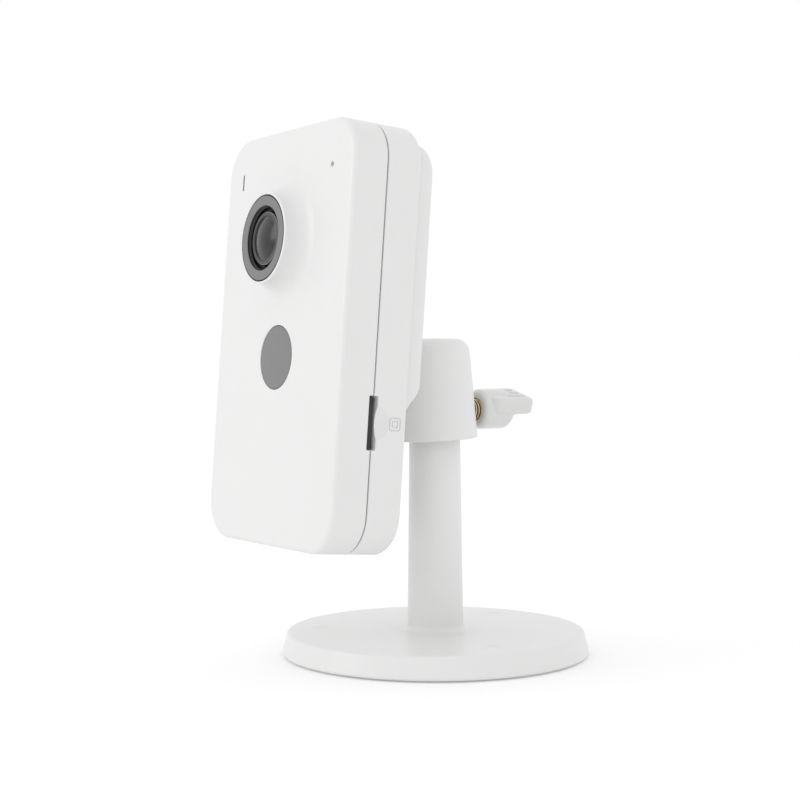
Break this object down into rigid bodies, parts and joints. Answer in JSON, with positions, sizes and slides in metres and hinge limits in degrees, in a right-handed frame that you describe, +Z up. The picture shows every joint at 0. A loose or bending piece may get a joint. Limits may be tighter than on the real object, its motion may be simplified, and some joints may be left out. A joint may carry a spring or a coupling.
{
  "type": "security camera",
  "caption": "Slim upright indoor camera head on a ball joint, clamped by a thumb screw under a swivelling hood on a round weighted stand.",
  "frame": {"origin": "centre of the stand's underside, on the column's axis", "axes": "+Z up the column, -Y the way the lens looks, +X to the side with the memory card's slot"},
  "size_m": [0.075, 0.0856, 0.1248],
  "materials": {
    "white_plastic": "fine satin moulded ABS",
    "knob_plastic": "smooth moulded",
    "brass": "turned",
    "steel": "zinc plated",
    "zinc": "tinned sheet",
    "aluminium": "matt extruded",
    "black_plastic": "moulded",
    "rubber": "matt sheet",
    "grey_plastic": "satin",
    "sensor_window": "polished",
    "lens_glass": "coated",
    "light_pipe": "clear, frosted face",
    "circuit_board": "solder resist",
    "chip": "moulded epoxy",
    "nylon": "natural"
  },
  "bodies": {
    "stand": {"stand": "white_plastic", "ballast_plate": "zinc", "ballast_screw": "steel", "anti_slip_pad": "rubber"},
    "hood": {"hood": "white_plastic", "retaining_ring": "steel", "threaded_insert": "brass"},
    "pressure_pad": {"pressure_pad": "nylon"},
    "thumb_screw": {"thumb_screw": "brass", "screw_knob": "knob_plastic"},
    "ball_stud": {"ball_stud": "white_plastic", "friction_washer": "nylon", "stud_nut": "steel"},
    "head": {"front_shell": "white_plastic", "rear_shell": "white_plastic", "housing_screw_1": "steel", "housing_screw_2": "steel", "housing_screw_3": "steel", "housing_screw_4": "steel", "lens_trim_ring": "grey_plastic", "lens_seal": "rubber", "lens_barrel": "black_plastic", "lens_front_element": "lens_glass", "lens_rear_element": "lens_glass", "lens_holder": "black_plastic", "image_sensor": "chip", "pir_window": "sensor_window", "pir_sensor": "zinc", "light_pipe": "light_pipe", "indicator_led": "light_pipe", "mic_gasket": "rubber", "microphone": "zinc", "main_board": "circuit_board", "processor": "chip", "heat_sink": "aluminium", "wifi_module": "zinc", "wifi_antenna": "black_plastic", "power_capacitor": "aluminium", "power_inductor": "chip", "speaker": "black_plastic", "power_socket": "zinc", "card_socket": "zinc", "reset_switch": "black_plastic"},
    "micro_sd_card": {"micro_sd_card": "black_plastic"},
    "reset_button": {"reset_button": "grey_plastic"}
  },
  "joints": [
    {"name": "pan", "type": "hinge", "parent": "stand", "child": "hood", "pos_m": [0, 0, 0.0534], "axis": [0, 0, 1], "continuous": true},
    {"name": "tilt", "type": "hinge", "parent": "hood", "child": "ball_stud", "pos_m": [0, 0, 0.064], "axis": [-1, 0, 0], "range_deg": [-5.5, 20.5]},
    {"name": "roll", "type": "hinge", "parent": "ball_stud", "child": "head", "pos_m": [0, 0, 0.064], "axis": [0, -0.9969, 0.0783], "range_deg": [-90, 90]},
    {"name": "clamp_travel", "type": "slide", "parent": "hood", "child": "pressure_pad", "axis": [0, 1, 0], "range_m": [0, 0.00122]},
    {"name": "knob_turn", "type": "hinge", "parent": "pressure_pad", "child": "thumb_screw", "pos_m": [0, 0.0123, 0.0595], "axis": [0, 1, 0], "range_deg": [0, 540]},
    {"name": "card_slide", "type": "slide", "parent": "head", "child": "micro_sd_card", "axis": [1, 0, 0], "range_m": [0, 0.014]},
    {"name": "reset_press", "type": "slide", "parent": "head", "child": "reset_button", "axis": [0, -0.9969, 0.0783], "range_m": [0, 0.0005], "stiffness_N_per_m": 600, "springref_m": -0.0003}
  ],
  "couplings": [
    {"joint": "clamp_travel", "follows": "knob_turn", "m_per_rad": 0.00012732}
  ]
}
